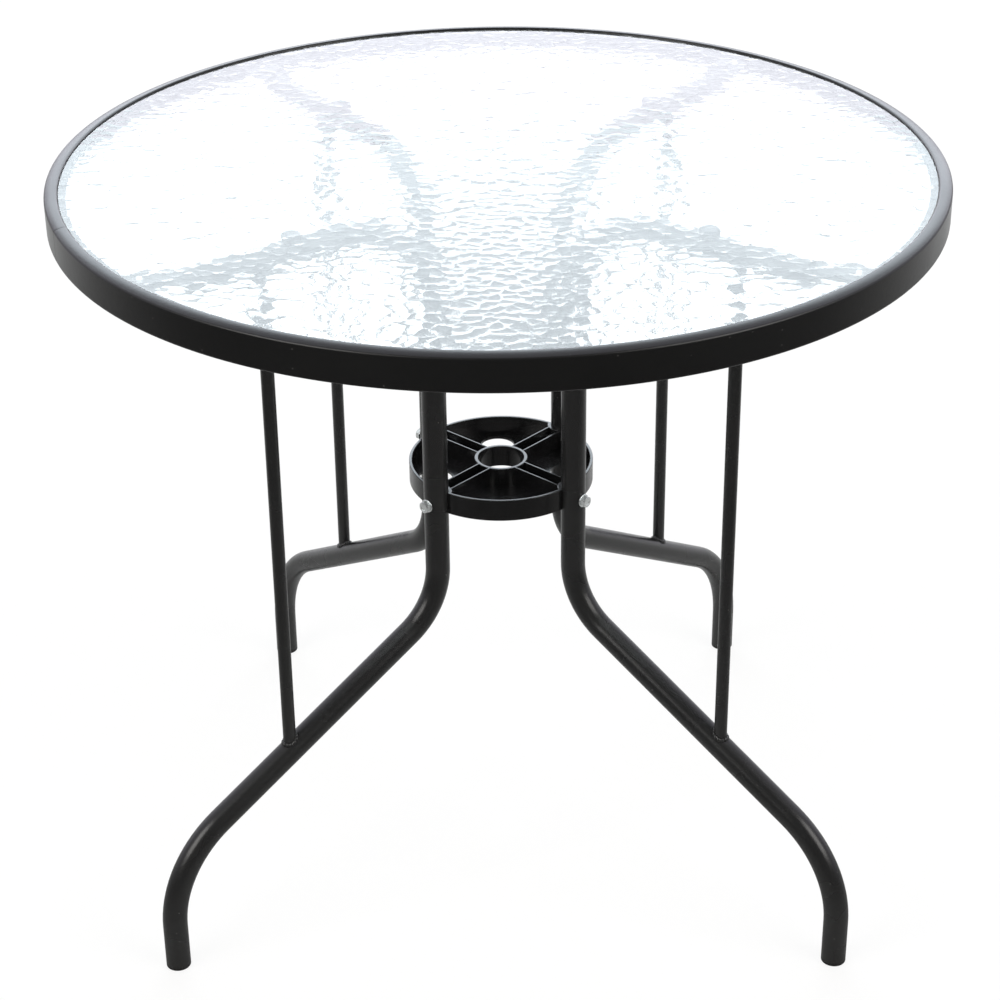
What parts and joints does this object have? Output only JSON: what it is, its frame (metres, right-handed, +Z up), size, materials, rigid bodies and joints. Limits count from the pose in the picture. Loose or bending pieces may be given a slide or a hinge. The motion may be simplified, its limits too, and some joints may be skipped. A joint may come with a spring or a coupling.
{
  "type": "umbrella table",
  "caption": "Round patio table with a rippled glass top in a steel rim, bent tube legs with upright rods, and a ribbed plastic hub ring under the top.",
  "frame": {"origin": "on the ground, under the middle of the round top", "axes": "+Z up, -Y to the front where the picture is taken from, +X to the right"},
  "size_m": [0.8, 0.8, 0.7],
  "materials": {
    "powder_coat": "black powder coat, satin, fine orange peel",
    "ripple_glass": "clear tempered glass with a hammered ripple",
    "hub_plastic": "black moulded polypropylene, fine matt grain",
    "foot_plastic": "black moulded polyethylene, matt, scuffed under the foot",
    "rubber": "soft matt rubber",
    "zinc": "bright zinc plate"
  },
  "bodies": {
    "root": {"rim_band": "powder_coat", "glass_gasket": "rubber", "glass_top": "ripple_glass", "hub_pan": "hub_plastic", "leg_front_left": "powder_coat", "rod_front_left": "powder_coat", "glass_pad_front_left": "rubber", "foot_plug_front_left": "foot_plastic", "rim_bracket_front_left": "powder_coat", "rim_screw_front_left": "zinc", "hub_screw_front_left": "zinc", "hub_washer_front_left": "zinc", "hub_nut_front_left": "zinc", "leg_front_right": "powder_coat", "rod_front_right": "powder_coat", "glass_pad_front_right": "rubber", "foot_plug_front_right": "foot_plastic", "rim_bracket_front_right": "powder_coat", "rim_screw_front_right": "zinc", "hub_screw_front_right": "zinc", "hub_washer_front_right": "zinc", "hub_nut_front_right": "zinc", "leg_rear_left": "powder_coat", "rod_rear_left": "powder_coat", "glass_pad_rear_left": "rubber", "foot_plug_rear_left": "foot_plastic", "rim_bracket_rear_left": "powder_coat", "rim_screw_rear_left": "zinc", "hub_screw_rear_left": "zinc", "hub_washer_rear_left": "zinc", "hub_nut_rear_left": "zinc", "leg_rear_right": "powder_coat", "rod_rear_right": "powder_coat", "glass_pad_rear_right": "rubber", "foot_plug_rear_right": "foot_plastic", "rim_bracket_rear_right": "powder_coat", "rim_screw_rear_right": "zinc", "hub_screw_rear_right": "zinc", "hub_washer_rear_right": "zinc", "hub_nut_rear_right": "zinc"}
  },
  "joints": []
}
